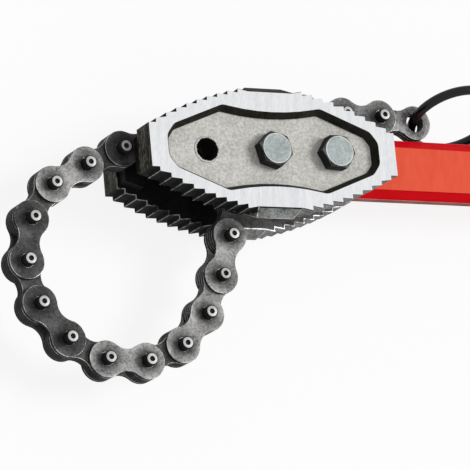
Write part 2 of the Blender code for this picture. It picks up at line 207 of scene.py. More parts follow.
def paintedShade():
    # Painted shade: one where the steel is painted dark, beyond Start against the X axis, with a ragged edge Width
    # wide, and, as a band along the rim, further than Reach from the height Middle.
    inputs = {"Start": 0.0, "Width": 0.01, "Middle": 0.0, "Reach": 1.0}
    tree, given, made = newGroup("paintedShade", inputs, ["Mask"])
    place = objectPlace(tree)
    sides = splitPlace(tree, place)
    stray = wander(tree, place, paintedShadeEdge)
    along = mathNode(tree, "ADD", sides["X"], stray)
    fade = mathNode(tree, "SUBTRACT", given.outputs["Start"], along)
    fade = mathNode(tree, "DIVIDE", fade, given.outputs["Width"])
    fade = mathNode(tree, "ADD", fade, paintedShadeEdge["fadeMiddle"])
    away = mathNode(tree, "SUBTRACT", sides["Z"], given.outputs["Middle"])
    away = mathNode(tree, "ABSOLUTE", away)
    away = mathNode(tree, "ADD", away, mathNode(tree, "MULTIPLY", stray, paintedShadeEdge["bandStray"]))
    band = mathNode(tree, "SUBTRACT", away, given.outputs["Reach"])
    band = mathNode(tree, "DIVIDE", band, paintedShadeEdge["bandFade"])
    clamp = addNode(tree, "ShaderNodeClamp")
    tree.links.new(mathNode(tree, "MAXIMUM", fade, band), clamp.inputs[0])
    tree.links.new(clamp.outputs[0], made.inputs["Mask"])
    return tree


pinOilAndShadeEdge = {"scale": 260, "detail": 4, "stray": 4 * mm}


def square(tree, value):
    return mathNode(tree, "POWER", mathNode(tree, "ABSOLUTE", value), 2)


def pinOilAndShade():
    # Old oil and painted contact shade round the two pins of a link: one up to Near from a pin, nought from Far
    # on. linkPlace holds a plate's place before its turn.
    inputs = {"Pitch": 0.032, "Near": 0.005, "Far": 0.008}
    tree, given, made = newGroup("pinOilAndShade", inputs, ["Mask"])
    place = addNode(tree, "ShaderNodeAttribute", attribute_name="linkPlace")
    sides = splitPlace(tree, place.outputs["Vector"])
    half = mathNode(tree, "MULTIPLY", given.outputs["Pitch"], 0.5)
    along = mathNode(tree, "ABSOLUTE", mathNode(tree, "SUBTRACT", sides["X"], half))
    along = mathNode(tree, "SUBTRACT", along, half)
    reach = mathNode(tree, "ADD", square(tree, along), square(tree, sides["Y"]))
    reach = mathNode(tree, "SQRT", reach)
    reach = mathNode(tree, "ADD", reach, wander(tree, ownPlace(tree), pinOilAndShadeEdge))
    mask = mapRange(tree, reach, (given.outputs["Near"], given.outputs["Far"]), (1, 0))
    tree.links.new(mask, made.inputs["Mask"])
    return tree


print("making the groups")
pinOilAndShadeGroup = pinOilAndShade()
grainGroup = castGrain()
brushGroup = brushLines()
paintedShadeGroup = paintedShade()


# ---- finishes

usual = {"spread": (0.35, 0.65), "metallic": 0.0, "glossTones": (0.3, 0.7)}


def groupNode(tree, group, values):
    node = addNode(tree, "ShaderNodeGroup", node_tree=group)
    for label, value in values.items():
        node.inputs[label].default_value = value
    return node


def finish(name, look):
    # As the group's tone rises, the colour goes from dark to light and the roughness
    # from the second to the first value of rough. The group's height is the relief.
    material = bpy.data.materials.new(name)
    material.use_nodes = True
    tree = material.node_tree
    shader = tree.nodes["Principled BSDF"]
    pattern = groupNode(tree, look["group"], look["values"])
    tone = pattern.outputs["Tone"]
    spread = look.get("spread", usual["spread"])
    colour = ramp(tree, tone, spread, look["dark"], look["light"])
    # A darker copy mixed in by a mask: painted shade, and on the chain also old oil round the pins.
    if "darkCopy" in look:
        darkCopy = look["darkCopy"]
        darkMask = groupNode(tree, darkCopy["group"], darkCopy["values"])
        darkColour = ramp(tree, tone, spread, darkCopy["dark"], darkCopy["light"])
        colour = mixNode(tree, "RGBA", darkMask.outputs["Mask"], colour, darkColour)
    tree.links.new(colour, shader.inputs["Base Color"])
    shiny, dull = look["rough"]
    rough = mapRange(tree, tone, usual["glossTones"], (dull, shiny))
    tree.links.new(rough, shader.inputs["Roughness"])
    relief = addNode(tree, "ShaderNodeBump")
    strength, distance = look["bump"]
    relief.inputs["Strength"].default_value = strength
    relief.inputs["Distance"].default_value = distance
    tree.links.new(pattern.outputs["Height"], relief.inputs["Height"])
    tree.links.new(relief.outputs["Normal"], shader.inputs["Normal"])
    shader.inputs["Metallic"].default_value = look.get("metallic", usual["metallic"])
    shader.inputs["Specular IOR Level"].default_value = look["shine"]
    return material


def finishes(looks):
    return [finish(name, look) for name, look in looks.items()]


# ---- mesh helpers

clean = {"mergeReach": 0.01 * mm, "flatDegrees": 0.6, "sharpDegrees": 30, "normalWeight": 90}


def addPiece(name, mesh):
    made = bpy.data.objects.new(name, mesh)
    bpy.context.scene.collection.objects.link(made)
    return made


def finishedMesh(name, work, materials):
    mesh = bpy.data.meshes.new(name)
    work.to_mesh(mesh)
    work.free()
    for material in materials:
        mesh.materials.append(material)
    return mesh


def meshObject(name, work, materials):
    bmesh.ops.recalc_face_normals(work, faces=work.faces)
    return addPiece(name, finishedMesh(name, work, materials))


def joinFlats(work, degrees, **limits):
    bmesh.ops.dissolve_limit(work, angle_limit=math.radians(degrees),
                             verts=work.verts, edges=work.edges, **limits)


def joinRings(work, rings):
    # One list of faces for each band between two rings.
    bands = []
    for lower, upper in zip(rings, rings[1:]):
        sides = [(index, (index + 1) % len(lower)) for index in range(len(lower))]
        bands.append([work.faces.new((lower[index], lower[after], upper[after], upper[index]))
                      for index, after in sides])
    return bands


def addBevel(piece, rounding, degrees, material=-1):
    # Rounding is a width and a number of steps. A material of -1 leaves the new
    # faces the finish of those beside them.
    step = piece.modifiers.new("softEdges", "BEVEL")
    step.width, step.segments = rounding
    step.limit_method = "ANGLE"
    step.angle_limit = math.radians(degrees)
    step.material = material
    step.harden_normals = True
    step.use_clamp_overlap = True


def bevelEdges(work, edges, rounding, material):
    width, steps = rounding
    bmesh.ops.bevel(work, geom=edges, offset=width, segments=steps, profile=0.5,
                    affect="EDGES", clamp_overlap=True, material=material)


def softenEdges(piece, pick, rounding, material):
    # Rounds only the edges that pick says yes to.
    work = bmesh.new()
    work.from_mesh(piece.data)
    chosen = [edge for edge in work.edges if len(edge.link_faces) == 2 and pick(edge)]
    bevelEdges(work, chosen, rounding, material)
    work.to_mesh(piece.data)
    work.free()


def kinds(edge):
    return {face.material_index for face in edge.link_faces}


def between(first, second):
    # Picks the edges where two finishes meet.
    return lambda edge: kinds(edge) == {first, second}


def shadeSmooth(mesh, degrees):
    mesh.shade_smooth()
    mesh.set_sharp_from_angle(angle=math.radians(degrees))


def evenShading(piece):
    # Large flat faces keep their own light right up to the softened edges.
    step = piece.modifiers.new("evenShading", "WEIGHTED_NORMAL")
    step.keep_sharp = True
    step.weight = clean["normalWeight"]


def dressedCopy(name, node, materials, sort):
    # The node's own solid, its flat facets joined, with a finish for each face.
    work = bmesh.new()
    work.from_mesh(frame["nodes"][node].data)
    bmesh.ops.remove_doubles(work, verts=work.verts, dist=clean["mergeReach"])
    joinFlats(work, clean["flatDegrees"])
    for face in work.faces:
        face.material_index = sort(face)
        face.smooth = True
    mesh = finishedMesh(name, work, materials)
    mesh.set_sharp_from_angle(angle=math.radians(clean["sharpDegrees"]))
    made = addPiece(name, mesh)
    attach(made, "root")
    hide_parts(node)
    return made


# ---- jaws

grindTurn = -1.468  # radians; the grinding lines run nearly across the handle
# Painted shade: the jaws' sides, inner faces and bright edges go near black beyond the left end's start, and the
# flanks also along the rim's edge.
paintedShadeStart = {"Start": -16 * mm, "Width": 6 * mm}
steelPaintedShade = {"group": paintedShadeGroup,
            "values": {**paintedShadeStart, "Middle": centreBolt.z, "Reach": 39.5 * mm},
            "dark": (0.003, 0.003, 0.003), "light": (0.016, 0.016, 0.015)}
edgePaintedShade = {"group": paintedShadeGroup, "values": paintedShadeStart,
           "dark": (0.03, 0.03, 0.03), "light": (0.26, 0.27, 0.26)}
jawLooks = {
    "jawRim": {"group": brushGroup, "values": {"Scale": 230, "Turn": grindTurn, "Stretch": 10},
               "dark": (0.68, 0.695, 0.715), "light": (0.84, 0.857, 0.873),
               "spread": (0.36, 0.60), "rough": (0.5, 0.65), "bump": (0.10, 0.2 * mm),
               "shine": 0.2},
    "jawPanel": {"group": grainGroup, "values": {"Scale": 560, "Fine": 0.4, "Patches": 0.15},
                 "dark": (0.34, 0.333, 0.306), "light": (0.70, 0.69, 0.652),
                 "spread": (0.34, 0.66), "rough": (0.5, 0.65), "bump": (0.8, 0.5 * mm),
                 "shine": 0.2, "metallic": 0.1},
    # Near black: painted shade on the recess walls, the upper flat's ridge, the mouth's rounded edge and the lines
    # beside the hole's lip.
    "jawWallShade": {"group": grainGroup, "values": {"Scale": 300, "Fine": 0.4},
                "dark": (0.008, 0.008, 0.006), "light": (0.034, 0.033, 0.026),
                "rough": (0.6, 0.8), "bump": (0.5, 0.5 * mm), "shine": 0.05},
    "jawSide": {"group": grainGroup, "values": {"Scale": 520, "Fine": 0.6, "Patches": 0.3},
                "dark": (0.020, 0.022, 0.021), "light": (0.46, 0.475, 0.465),
                "spread": (0.38, 0.60), "rough": (0.6, 0.8), "bump": (1.0, 0.9 * mm),
                "shine": 0.08, "darkCopy": steelPaintedShade},
    "jawInner": {"group": grainGroup, "values": {"Scale": 300, "Fine": 0.5},
                 "dark": (0.045, 0.047, 0.044), "light": (0.24, 0.25, 0.235),
                 "rough": (0.6, 0.8), "bump": (0.7, 0.6 * mm), "shine": 0.08,
                 "darkCopy": steelPaintedShade},
    "jawEnd": {"group": brushGroup, "values": {"Scale": 260, "Turn": 1.57, "Stretch": 5},
               "dark": (0.006, 0.006, 0.005), "light": (0.24, 0.22, 0.18),
               "spread": (0.44, 0.70), "rough": (0.5, 0.7), "bump": (0.5, 0.4 * mm),
               "shine": 0.08},
    # Bright edges of the teeth and inner faces: wear, and partly a painted highlight.
    "wornAndHighlitEdge": {"group": grainGroup, "values": {"Scale": 300, "Fine": 0.35, "Patches": 0.6},
                 "dark": (0.16, 0.16, 0.16), "light": (0.90, 0.91, 0.92),
                 "spread": (0.42, 0.52), "rough": (0.35, 0.5), "bump": (0.3, 0.3 * mm),
                 "shine": 0.3, "metallic": 0.8, "darkCopy": edgePaintedShade},
}
jawRim, jawPanel, jawWallShade, jawSide, jawInner, jawEnd, wornAndHighlitEdge = range(len(jawLooks))
jaw = {"outerFace": 41.25 * mm, "recessDepth": 7.2 * mm, "faceTolerance": 0.4 * mm,
       "innerFace": 19.65 * mm, "endFace": 99.5 * mm, "flatHalf": 24 * mm,
       "levelNormal": 0.95, "slopeNormal": 0.3, "endNormal": 0.9, "flatNormal": 0.5,
       "ridgeLine": 47.5 * mm, "ridgeRise": 0.9 * mm,
       "panelEdge": (0.8 * mm, 3), "mouthEdge": (0.5 * mm, 2),
       "innerEdge": (0.8 * mm, 2), "crestEdge": (0.45 * mm, 1),
       "sharpDegrees": 28, "smoothDegrees": 32}


def jawFace(face):
    normal, centre = face.normal, face.calc_center_median() - centreBolt
    depth = abs(centre.z)
    panelDepth = jaw["outerFace"] - jaw["recessDepth"]
    if abs(normal.z) > jaw["levelNormal"]:
        if depth > jaw["outerFace"] - jaw["faceTolerance"]:
            return jawRim
        return jawPanel if abs(depth - panelDepth) < jaw["faceTolerance"] else jawInner
    onFlat = abs(centre.x) < jaw["flatHalf"]
    if depth > panelDepth and abs(normal.z) > jaw["slopeNormal"]:
        # The sunk panel's sloping wall, or the upper flat's ridge; both take the near-black finish, painted shade.
        inward = normal.x * centre.x + normal.y * centre.y < 0
        return jawWallShade if inward or centre.y > 0 and onFlat else jawSide
    if depth < jaw["innerFace"]:
        return jawInner
    if abs(centre.x) > jaw["endFace"] and abs(normal.x) > jaw["endNormal"]:
        return jawEnd
    # The upper flat's faces that look towards +Y take the near-black finish: painted shade.
    return jawWallShade if normal.y > jaw["flatNormal"] and onFlat else jawSide


def raiseRidges(mesh):
    # The forged ridges' crests stand a little further out than in the solid.
    for corner in mesh.vertices:
        aside = corner.co.y - centreBolt.y
        if abs(aside) > jaw["ridgeLine"]:
            corner.co.y += math.copysign(jaw["ridgeRise"], aside)


def jutsOut(edge):
    return edge.calc_face_angle_signed(0) > math.radians(jaw["sharpDegrees"])


def onInnerSide(edge):
    return jawInner in kinds(edge) and kinds(edge) & {jawWallShade, jawSide, jawEnd} and jutsOut(edge)


def onCrest(edge):
    return kinds(edge) <= {jawWallShade, jawSide} and jawSide in kinds(edge) and jutsOut(edge)


def dressJaw(name, node, materials):
    dressed = dressedCopy(name, node, materials, jawFace)
    raiseRidges(dressed.data)
    softenEdges(dressed, between(jawPanel, jawWallShade), jaw["panelEdge"], jawPanel)
    softenEdges(dressed, between(jawRim, jawWallShade), jaw["mouthEdge"], jawWallShade)
    softenEdges(dressed, onInnerSide, jaw["innerEdge"], wornAndHighlitEdge)
    softenEdges(dressed, onCrest, jaw["crestEdge"], wornAndHighlitEdge)
    shadeSmooth(dressed.data, jaw["smoothDegrees"])
    evenShading(dressed)


# A row of the lip is one ring, in mm: how far out from the hole's edge, how much
# further at the left, how far up from the panel, and how ragged. A wave is a share,
# a number of turns and a phase.
hole = {"x": -51.75 * mm, "radius": 8.3 * mm, "sides": 144,
        "leftPhase": 0.3, "smoothDegrees": 50,
        "rows": ((-0.15, 0.0, 0.03, 0.20), (0.45, 0.0, 0.08, 0.35),
                 (0.7, 1.3, 0.10, 0.10), (0.9, 1.6, -0.05, 0.10)),
        "waves": ((0.5, 9, 1.3), (0.45, 23, 0.4), (0.4, 37, 0.0))}


def lipRing(work, spot, top, outward, leftward, lift, ragged):
    ring = []
    for index in range(hole["sides"]):
        angle = math.tau * index / hole["sides"]
        wave = sum(share * math.sin(turns * angle + phase) for share, turns, phase in hole["waves"])
        leftness = 0.5 - 0.5 * math.cos(angle - hole["leftPhase"])
        reach = hole["radius"] + (outward + leftward * leftness + ragged * wave) * mm
        x, y = spot.x + reach * math.cos(angle), spot.y + reach * math.sin(angle)
        ring.append(work.verts.new((x, y, top + lift * mm)))
    return ring


def holeLip(name, panel, wall):
    # The ragged lip that the drill left round the empty hole: a bright crest between two dark lines of painted
    # shade.
    spot = centreBolt + Vector((hole["x"], 0, 0))
    top = centreBolt.z + jaw["outerFace"] - jaw["recessDepth"]
    work = bmesh.new()
    bands = joinRings(work, [lipRing(work, spot, top, *row) for row in hole["rows"]])
    for face in bands[0] + bands[-1]:
        face.material_index = 1
    lip = meshObject(name, work, [panel, wall])
    shadeSmooth(lip.data, hole["smoothDegrees"])
    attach(lip, "root")


print("dressing the jaws")
jawFinishes = finishes(jawLooks)
dressJaw("jawFront", "jaw_front", jawFinishes)
dressJaw("jawRear", "jaw_rear", jawFinishes)
holeLip("holeLipFront", jawFinishes[jawPanel], jawFinishes[jawWallShade])


# ---- handle

handleLooks = {
    # Painted sheen: the flat faces are a lighter orange than the red paint of the bevels, as where light shines on
    # the paint.
    "handleFaceSheen": {"group": brushGroup,
                   "values": {"Scale": 70, "Turn": grindTurn, "Stretch": 3},
                   "dark": (0.76, 0.075, 0.028), "light": (0.82, 0.090, 0.037),
                   "rough": (0.42, 0.5), "bump": (0.03, 0.3 * mm), "shine": 0.10},
    "handleBevel": {"group": grainGroup, "values": {"Scale": 55, "Fine": 0.3},
                    "dark": (0.60, 0.002, 0.006), "light": (0.68, 0.004, 0.010),
                    "rough": (0.42, 0.5), "bump": (0.05, 0.6 * mm), "shine": 0.04},
    "handleEdge": {"group": grainGroup, "values": {"Scale": 140, "Fine": 0.4},
                   "dark": (0.17, 0.045, 0.038), "light": (0.33, 0.09, 0.075),
                   "rough": (0.5, 0.6), "bump": (0.2, 0.5 * mm), "shine": 0.15},
    # The pale line along the handle's lower edges: worn paint, and partly a painted highlight.
    "handleWornAndHighlit": {"group": grainGroup, "values": {"Scale": 160, "Fine": 0.4},
                   "dark": (0.50, 0.10, 0.08), "light": (0.78, 0.30, 0.26),
                   "rough": (0.4, 0.5), "bump": (0.1, 0.4 * mm), "shine": 0.2},
}
handleFaceSheen, handleBevel, handleEdge, handleWornAndHighlit = range(len(handleLooks))
handle = {"faceNormal": 0.9, "bevelNormal": 0.3, "innerEdge": (0.6 * mm, 3),
          "wornAndHighlitEdge": (0.35 * mm, 2), "smoothDegrees": 30}


def handlePart(face):
    if abs(face.normal.z) > handle["faceNormal"]:
        return handleFaceSheen
    return handleBevel if abs(face.normal.z) > handle["bevelNormal"] else handleEdge


print("dressing the handle")
bar = dressedCopy("handleBar", "handle", finishes(handleLooks), handlePart)
softenEdges(bar, between(handleBevel, handleEdge), handle["wornAndHighlitEdge"], handleWornAndHighlit)
softenEdges(bar, between(handleFaceSheen, handleBevel), handle["innerEdge"], handleBevel)
shadeSmooth(bar.data, handle["smoothDegrees"])
evenShading(bar)


# ---- bolts, nuts and washers

boltLooks = {
    # Near black: painted shade on the sides of the bolt heads, the nuts and the shanks.
    "boltSideShade": {"group": grainGroup, "values": {"Scale": 330, "Fine": 0.4},
                 "dark": (0.002, 0.0025, 0.0025), "light": (0.018, 0.020, 0.020),
                 "rough": (0.45, 0.6), "bump": (0.3, 0.3 * mm), "shine": 0.1},
    "boltTop": {"group": grainGroup, "values": {"Scale": 430, "Fine": 0.5, "Patches": 0.25},
                "dark": (0.20, 0.235, 0.23), "light": (0.48, 0.53, 0.52),
                "rough": (0.45, 0.6), "bump": (0.45, 0.3 * mm), "shine": 0.2, "metallic": 0.1},
    "boltChamfer": {"group": grainGroup, "values": {"Scale": 330, "Fine": 0.4},
                    "dark": (0.010, 0.011, 0.011), "light": (0.20, 0.215, 0.21),
                    "spread": (0.42, 0.64), "rough": (0.45, 0.6), "bump": (0.4, 0.4 * mm),
                    "shine": 0.15},
    "boltRing": {"group": grainGroup, "values": {"Scale": 620, "Fine": 0.6},
                 "dark": (0.44, 0.48, 0.48), "light": (0.80, 0.83, 0.83),
                 "rough": (0.35, 0.45), "bump": (0.2, 0.2 * mm), "shine": 0.3,
                 "metallic": 0.1},
}
boltSideShade, boltTop, boltChamfer, boltRing = range(len(boltLooks))
bolt = {"head": 10 * mm, "across": 24 * mm, "corners": 6,
        "chamferCircle": 22.6 * mm, "chamferDrop": 1.5 * mm, "overrun": 1 * mm,
        "levelNormal": 0.95, "slopeNormal": 0.2, "endNormal": 0.9,
        "mergeReach": 0.02 * mm, "flatDegrees": 1, "ringLine": 0.45 * mm,
        "edge": (0.25 * mm, 2), "edgeDegrees": 50, "smoothDegrees": 24,
        "radius": 8 * mm, "endChamfer": 0.8 * mm, "intoHead": 0.5 * mm, "sides": 64,
        "shankSmoothDegrees": 40, "turns": {"Centre": -16.7, "Side": -3.6}}


def turnedRing(work, centre, radius, start, sides, z):
    angles = [start + math.tau * index / sides for index in range(sides)]
    return [work.verts.new((centre[0] + radius * math.cos(angle),
                            centre[1] + radius * math.sin(angle), z)) for angle in angles]


def closedSolid(work, rings):
    joinRings(work, rings)
    work.faces.new(rings[0])
    work.faces.new(rings[-1])


def latheSolid(work, profile, sides, centre):
    # The profile is pairs of a radius and a height.
    closedSolid(work, [turnedRing(work, centre, radius, 0, sides, z) for radius, z in profile])


def applyModifiers(piece):
    graph = bpy.context.evaluated_depsgraph_get()
    fresh = bpy.data.meshes.new_from_object(piece.evaluated_get(graph))
    piece.modifiers.clear()
    piece.data = fresh


def turnCorners(head, centre, base, top, corner):
    # Cuts the head's corners down to a cone, as on a lathe.
    circle = bolt["chamferCircle"] / 2
    wide = circle + (corner - circle) / bolt["chamferDrop"] * bolt["head"]
    work = bmesh.new()
    latheSolid(work, [(wide, base - bolt["overrun"]), (wide, base), (circle, top)],
               bolt["sides"], centre)
    cone = meshObject("headCone", work, [])
    step = head.modifiers.new("chamfer", "BOOLEAN")
    step.operation = "INTERSECT"
    step.object = cone
    applyModifiers(head)
    bpy.data.objects.remove(cone)


def headPart(face):
    if face.normal.z > bolt["levelNormal"]:
        return boltTop
    return boltChamfer if face.normal.z > bolt["slopeNormal"] else boltSideShade


def boltHead(name, materials, centre, base, top, turn):
    corner = bolt["across"] / 2 / math.cos(math.pi / bolt["corners"])
    work = bmesh.new()
    closedSolid(work, [turnedRing(work, centre, corner, turn, bolt["corners"], z)
                       for z in (base, top)])
    head = meshObject(name, work, materials)
    turnCorners(head, centre, base, top, corner)
    work = bmesh.new()
    work.from_mesh(head.data)
    for face in work.faces:
        face.material_index = headPart(face)
    bmesh.ops.remove_doubles(work, verts=work.verts, dist=bolt["mergeReach"])
    joinFlats(work, bolt["flatDegrees"], delimit={"MATERIAL"})
    tops = [face for face in work.faces if face.material_index == boltTop]
    line = bmesh.ops.inset_individual(work, faces=tops, thickness=bolt["ringLine"], depth=0)
    for face in line["faces"]:
        face.material_index = boltRing
    work.to_mesh(head.data)
    work.free()
    softenEdges(head, between(boltSideShade, boltChamfer), bolt["edge"], boltChamfer)
    shadeSmooth(head.data, bolt["smoothDegrees"])
    addBevel(head, bolt["edge"], bolt["edgeDegrees"], boltChamfer)
    return head


def boltShank(name, materials, centre, low, base):
    radius, chamfer = bolt["radius"], bolt["endChamfer"]
    work = bmesh.new()
    latheSolid(work, [(radius - chamfer, low), (radius, low + chamfer),
                      (radius, base + bolt["intoHead"])], bolt["sides"], centre)
    rod = meshObject(name, work, materials)
    for face in rod.data.polygons:
        onEnd = face.normal.z < -bolt["endNormal"]
        face.material_index = boltTop if onEnd else boltSideShade
    shadeSmooth(rod.data, bolt["shankSmoothDegrees"])
    return rod


def hexBolt(label, node, materials):
    low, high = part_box(node)
    centre = ((low[0] + high[0]) / 2, (low[1] + high[1]) / 2)
    base, top = high[2] - bolt["head"], high[2]
    turn = math.radians(bolt["turns"][label])
    head = boltHead("boltHead" + label, materials, centre, base, top, turn)
    rod = boltShank("boltShank" + label, [materials[boltSideShade], materials[boltTop]],
                    centre, low[2], base)
    for piece in (head, rod):
        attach(piece, "root")
        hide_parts(node)


nut = {"levelNormal": 0.9, "edge": (0.25 * mm, 2), "edgeDegrees": 40}


def nutPart(face):
    return 0 if abs(face.normal.z) > nut["levelNormal"] else 1


print("making the bolts and nuts")
boltFinishes = finishes(boltLooks)
nutFinishes = [boltFinishes[boltTop], boltFinishes[boltSideShade]]
hexBolt("Centre", "bolt_centre", boltFinishes)
hexBolt("Side", "bolt_side", boltFinishes)
for node, name in (("nut_centre", "nutCentre"), ("nut_side", "nutSide"),
                   ("washer_front", "washerFront"), ("washer_rear", "washerRear")):
    fastener = dressedCopy(name, node, nutFinishes, nutPart)
    addBevel(fastener, nut["edge"], nut["edgeDegrees"])


# ---- chain

chain = {"pitch": 31.75 * mm, "endRadius": 13.4 * mm, "waistHalf": 8.1 * mm,
         "thick": 3.1 * mm, "gap": 0.3 * mm, "pinRadius": 4.7 * mm, "pinHole": 4.8 * mm,
         "boltHole": 8.3 * mm, "ringHole": 7.2 * mm, "edge": (0.4 * mm, 2),
         "endSteps": 26, "waistSteps": 8, "holeSides": 28, "flatDegrees": 0.5,
         "levelNormal": 0.9, "slopeNormal": 0.2, "smoothDegrees": 35,
         "lightLinks": (0, 2, 3, 4, 6, 12, 21), "plainLinks": (1, 15, 16, 17, 18, 19, 20)}
# Darker round the pins: old oil and painted contact shade.
linkOilAndShade = {"group": pinOilAndShadeGroup,
           "values": {"Pitch": chain["pitch"], "Near": 4.6 * mm, "Far": 13 * mm},
           "dark": (0.012, 0.012, 0.012), "light": (0.045, 0.045, 0.045)}
plateLook = {"group": grainGroup, "values": {"Scale": 520, "Fine": 0.5, "Patches": 0.42},
             "spread": (0.38, 0.60), "rough": (0.5, 0.65), "bump": (0.7, 0.6 * mm),
             "shine": 0.12, "metallic": 0.05, "darkCopy": linkOilAndShade}
plateLooks = {
    "dark": {**plateLook, "dark": (0.012, 0.012, 0.012), "light": (0.130, 0.128, 0.126)},
    "plain": {**plateLook, "dark": (0.035, 0.035, 0.035), "light": (0.300, 0.295, 0.291)},
    "light": {**plateLook, "dark": (0.100, 0.100, 0.100), "light": (0.570, 0.562, 0.553)},
}
borderLooks = {
    # Near-black plate sides: old oil and painted shade.
    "plateSideOilAndShade": {"group": grainGroup, "values": {"Scale": 420, "Fine": 0.5},
                  "dark": (0.004, 0.004, 0.0045), "light": (0.028, 0.028, 0.029),
                  "rough": (0.55, 0.7), "bump": (0.3, 0.4 * mm), "shine": 0.06},
    # The bright rounded rim of the top plate only: a painted highlight.
    "plateRimHighlight": {"group": grainGroup, "values": {"Scale": 420, "Fine": 0.5},
                 "dark": (0.06, 0.06, 0.06), "light": (0.58, 0.58, 0.58),
                 "spread": (0.44, 0.60), "rough": (0.35, 0.45), "bump": (0.2, 0.3 * mm),
                 "shine": 0.3, "metallic": 0.5},
}
plateFace, plateSideOilAndShade, plateRimHighlight = range(3)
plateFinishes = {tone: finish("plate" + tone.capitalize(), look)
                 for tone, look in plateLooks.items()}
borderFinishes = finishes(borderLooks)


def linkTone(index):
    if index in chain["lightLinks"]:
        return "light"
    return "plain" if index in chain["plainLinks"] else "dark"


def arc(x, y, radius, start, end, steps):
    angles = [start + (end - start) * index / steps for index in range(steps + 1)]
    return [(x + radius * math.cos(angle), y + radius * math.sin(angle)) for angle in angles]


def linkOutline():
    # Two round ends, joined by a waist whose two arcs run smoothly into them.
    middle, radius, half = chain["pitch"] / 2, chain["endRadius"], chain["waistHalf"]
    waist = (middle ** 2 + half ** 2 - radius ** 2) / (2 * (radius - half))
    height = half + waist
    lean = math.atan2(height, middle)
    left = arc(0, 0, radius, lean, math.tau - lean, chain["endSteps"])
    below = arc(middle, -height, waist, math.pi - lean, lean, chain["waistSteps"])
    right = arc(chain["pitch"], 0, radius, lean - math.pi, math.pi - lean, chain["endSteps"])
    above = arc(middle, height, waist, -lean, lean - math.pi, chain["waistSteps"])
    return left + below[1:-1] + right + above[1:-1]


def holeOutline(x, radius):
    return arc(x, 0, radius, 0, math.tau, chain["holeSides"])[:-1]


def addPlate(work, z, holes):
    edges = []
    for loop in [linkOutline()] + holes:
        corners = [work.verts.new((x, y, z - chain["thick"] / 2)) for x, y in loop]
        for index, corner in enumerate(corners):
            edges.append(work.edges.new((corner, corners[(index + 1) % len(corners)])))
    filled = bmesh.ops.triangle_fill(work, use_beauty=True, edges=edges)
    faces = [item for item in filled["geom"] if isinstance(item, bmesh.types.BMFace)]
    raised = bmesh.ops.extrude_face_region(work, geom=faces, use_keep_orig=True)
    corners = [item for item in raised["geom"] if isinstance(item, bmesh.types.BMVert)]
    bmesh.ops.translate(work, verts=corners, vec=(0, 0, chain["thick"]))


def roundPlates(work, topLevel):
    # Rounds the plates' edges. Only the top plate's upper edges are bright: a painted highlight. The sides are
    # near black: old oil and painted shade.
    for face in work.faces:
        level = abs(face.normal.z) > chain["levelNormal"]
        face.material_index = plateFace if level else plateSideOilAndShade
    pick = between(plateFace, plateSideOilAndShade)
    bevelEdges(work, [edge for edge in work.edges if pick(edge)], chain["edge"], plateRimHighlight)
    for face in work.faces:
        if face.material_index != plateRimHighlight:
            continue
        if face.normal.z < chain["slopeNormal"]:
            face.material_index = plateSideOilAndShade
        elif face.calc_center_median().z < topLevel:
            face.material_index = plateFace


def plateMesh(name, levels, holeA, holeB, tone):
    work = bmesh.new()
    for level in levels:
        addPlate(work, level, [holeOutline(0, holeA), holeOutline(chain["pitch"], holeB)])
    bmesh.ops.recalc_face_normals(work, faces=work.faces)
    joinFlats(work, chain["flatDegrees"])
    roundPlates(work, max(levels))
    mesh = finishedMesh(name, work, [plateFinishes[tone]] + borderFinishes)
    place = mesh.attributes.new("linkPlace", "FLOAT_VECTOR", "POINT")
    place.data.foreach_set("vector", [part for corner in mesh.vertices for part in corner.co])
    shadeSmooth(mesh, chain["smoothDegrees"])
    return mesh


pinLooks = {
    "pinEnd": {"group": grainGroup, "values": {"Scale": 900, "Fine": 0.5},
               "dark": (0.30, 0.30, 0.29), "light": (0.66, 0.66, 0.64),
               "rough": (0.35, 0.45), "bump": (0.3, 0.2 * mm), "shine": 0.3, "metallic": 0.1},
    # Near black: painted shade on the pins' sides and in the hollows of their ends.
    "pinSideShade": {"group": grainGroup, "values": {"Scale": 600, "Fine": 0.5},
                "dark": (0.003, 0.003, 0.0035), "light": (0.016, 0.016, 0.017),
                "rough": (0.4, 0.5), "bump": (0.2, 0.3 * mm), "shine": 0.1},
}
pinEnd, pinSideShade = range(len(pinLooks))
pinFinishes = finishes(pinLooks)
pin = {"half": 15.9 * mm, "chamfer": 0.8 * mm, "chamferBend": 0.3, "endTolerance": 0.08 * mm,
       "sides": 32, "smoothDegrees": 35, "hollowRadius": 1.7 * mm, "hollowDepth": 1.2 * mm,
       "hollowTip": 0.25 * mm, "hollowBend": (0.7, 0.72), "hollowLip": (0.3 * mm, 0.25 * mm)}


def pinProfile():
    # From the bottom of one end's hollow, along the pin, to that of the other end.
    radius, half, chamfer = chain["pinRadius"], pin["half"], pin["chamfer"]
    hollow, depth = pin["hollowRadius"], pin["hollowDepth"]
    bendOut, bendDown = pin["hollowBend"]
    lipWide, lipDeep = pin["hollowLip"]
    nearEnd = chamfer * pin["chamferBend"]
    end = [(pin["hollowTip"], half - depth), (hollow * bendOut, half - depth * bendDown),
           (hollow, half - lipDeep), (hollow + lipWide, half), (radius - chamfer, half),
           (radius - nearEnd, half - nearEnd), (radius, half - chamfer)]
    return end + [(reach, -z) for reach, z in reversed(end)]


def pinPart(face, places):
    centre = face.calc_center_median()
    nearest = min(places, key=lambda x: abs(centre.x - x))
    onEnd = abs(centre.z) > pin["half"] - pin["endTolerance"]
    inHollow = math.hypot(centre.x - nearest, centre.y) <= pin["hollowRadius"]
    return pinEnd if onEnd and not inHollow else pinSideShade


